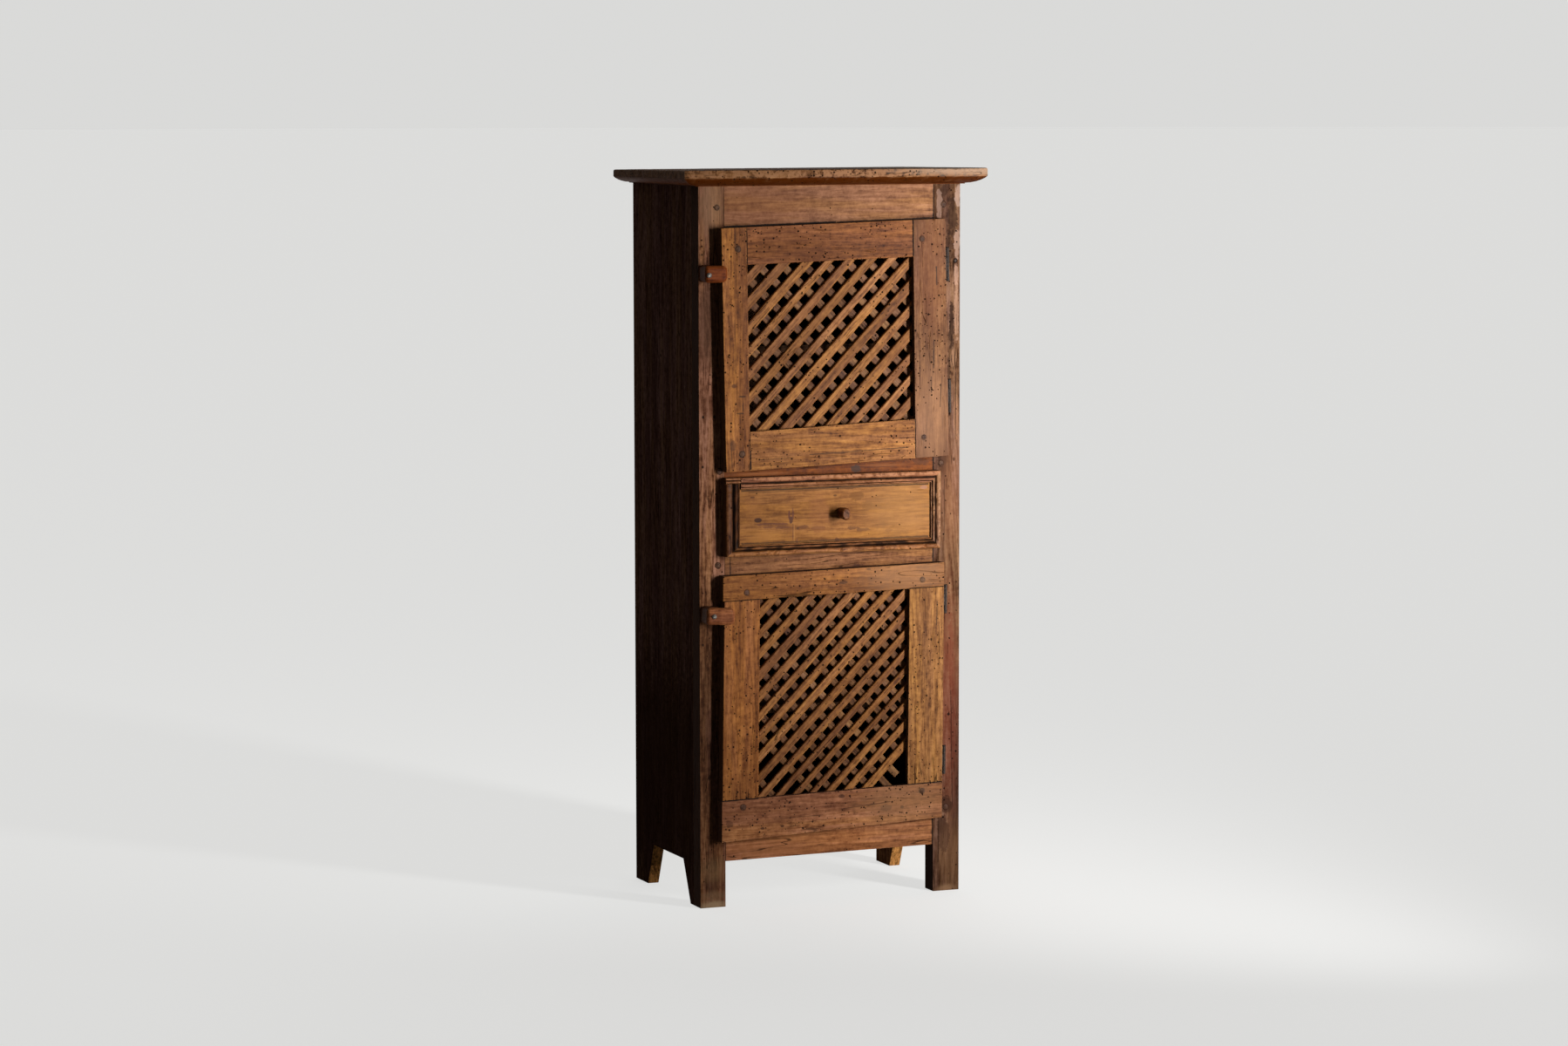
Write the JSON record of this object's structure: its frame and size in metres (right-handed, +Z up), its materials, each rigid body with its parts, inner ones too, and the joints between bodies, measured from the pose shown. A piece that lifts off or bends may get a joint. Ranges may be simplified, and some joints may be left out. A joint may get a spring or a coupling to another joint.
{
  "type": "pie safe",
  "caption": "Tall narrow wooden pie safe on board feet: a hinged lattice door above and below a sliding drawer, with turn buttons.",
  "frame": {"origin": "middle of the bounding box at the floor, under the case", "axes": "+X to the right seen from the front, -Y towards the front with the doors and the drawer, +Z up"},
  "size_m": [0.663, 0.4366, 1.5],
  "materials": {
    "post_wood": "worn, waxed",
    "rail_wood": "worn, waxed",
    "side_wood": "dark, waxed",
    "inside_wood": "raw, dry",
    "top_wood": "worn edge, waxed",
    "door_wood": "worn, waxed",
    "lath_wood": "raw, aged",
    "drawer_wood": "waxed",
    "moulding_wood": "worn, waxed",
    "knob_wood": "polished by use",
    "latch_wood": "polished by use",
    "hinge_iron": "dull, aged",
    "nail_steel": "worn bright"
  },
  "bodies": {
    "case": {"post_front_left": "post_wood", "post_front_right": "post_wood", "rail_top": "rail_wood", "rail_above_drawer": "rail_wood", "rail_below_drawer": "rail_wood", "rail_bottom": "rail_wood", "side_left_front_board": "side_wood", "side_left_rear_board": "side_wood", "side_right_front_board": "side_wood", "side_right_rear_board": "side_wood", "back_board_1": "inside_wood", "back_board_2": "inside_wood", "back_board_3": "inside_wood", "floor_board": "inside_wood", "drawer_divider": "inside_wood", "upper_deck": "inside_wood", "lower_shelf": "inside_wood", "upper_shelf": "inside_wood", "drawer_guide_left": "inside_wood", "drawer_guide_right": "inside_wood", "top_board": "top_wood", "upper_door_hinge_top_case_leaf": "hinge_iron", "upper_door_hinge_top_pin": "hinge_iron", "upper_door_hinge_bottom_case_leaf": "hinge_iron", "upper_door_hinge_bottom_pin": "hinge_iron", "lower_door_hinge_top_case_leaf": "hinge_iron", "lower_door_hinge_top_pin": "hinge_iron", "lower_door_hinge_bottom_case_leaf": "hinge_iron", "lower_door_hinge_bottom_pin": "hinge_iron", "upper_latch_nail": "nail_steel", "lower_latch_nail": "nail_steel"},
    "upper_door": {"upper_door_stile_free": "door_wood", "upper_door_stile_hinge": "door_wood", "upper_door_rail_top": "door_wood", "upper_door_rail_bottom": "door_wood", "upper_door_lattice": "lath_wood", "upper_door_hinge_top_door_leaf": "hinge_iron", "upper_door_hinge_bottom_door_leaf": "hinge_iron"},
    "lower_door": {"lower_door_stile_free": "door_wood", "lower_door_stile_hinge": "door_wood", "lower_door_rail_top": "door_wood", "lower_door_rail_bottom": "door_wood", "lower_door_lattice": "lath_wood", "lower_door_hinge_top_door_leaf": "hinge_iron", "lower_door_hinge_bottom_door_leaf": "hinge_iron"},
    "drawer": {"drawer_front": "drawer_wood", "drawer_bottom": "inside_wood", "drawer_side_left": "inside_wood", "drawer_side_right": "inside_wood", "drawer_back": "inside_wood", "drawer_moulding_left": "moulding_wood", "drawer_moulding_right": "moulding_wood", "drawer_moulding_top": "moulding_wood", "drawer_moulding_bottom": "moulding_wood", "drawer_knob": "knob_wood"},
    "upper_latch": {"upper_latch": "latch_wood"},
    "lower_latch": {"lower_latch": "latch_wood"}
  },
  "joints": [
    {"name": "upper_door_hinge", "type": "hinge", "parent": "case", "child": "upper_door", "pos_m": [0.2573, -0.17025, 1.3967], "axis": [-0.0189, 0, 0.9998], "range_deg": [0, 105]},
    {"name": "lower_door_hinge", "type": "hinge", "parent": "case", "child": "lower_door", "pos_m": [0.2565, -0.17025, 0.69], "axis": [0.0087, 0, 1], "range_deg": [0, 105]},
    {"name": "drawer_slide", "type": "slide", "parent": "case", "child": "drawer", "axis": [0, -1, 0], "range_m": [0, 0.25]},
    {"name": "upper_latch_turn", "type": "hinge", "parent": "case", "child": "upper_latch", "pos_m": [-0.278, -0.18975, 1.29], "axis": [0, -1, 0], "continuous": true},
    {"name": "lower_latch_turn", "type": "hinge", "parent": "case", "child": "lower_latch", "pos_m": [-0.2695, -0.18975, 0.602], "axis": [0, -1, 0], "continuous": true}
  ]
}
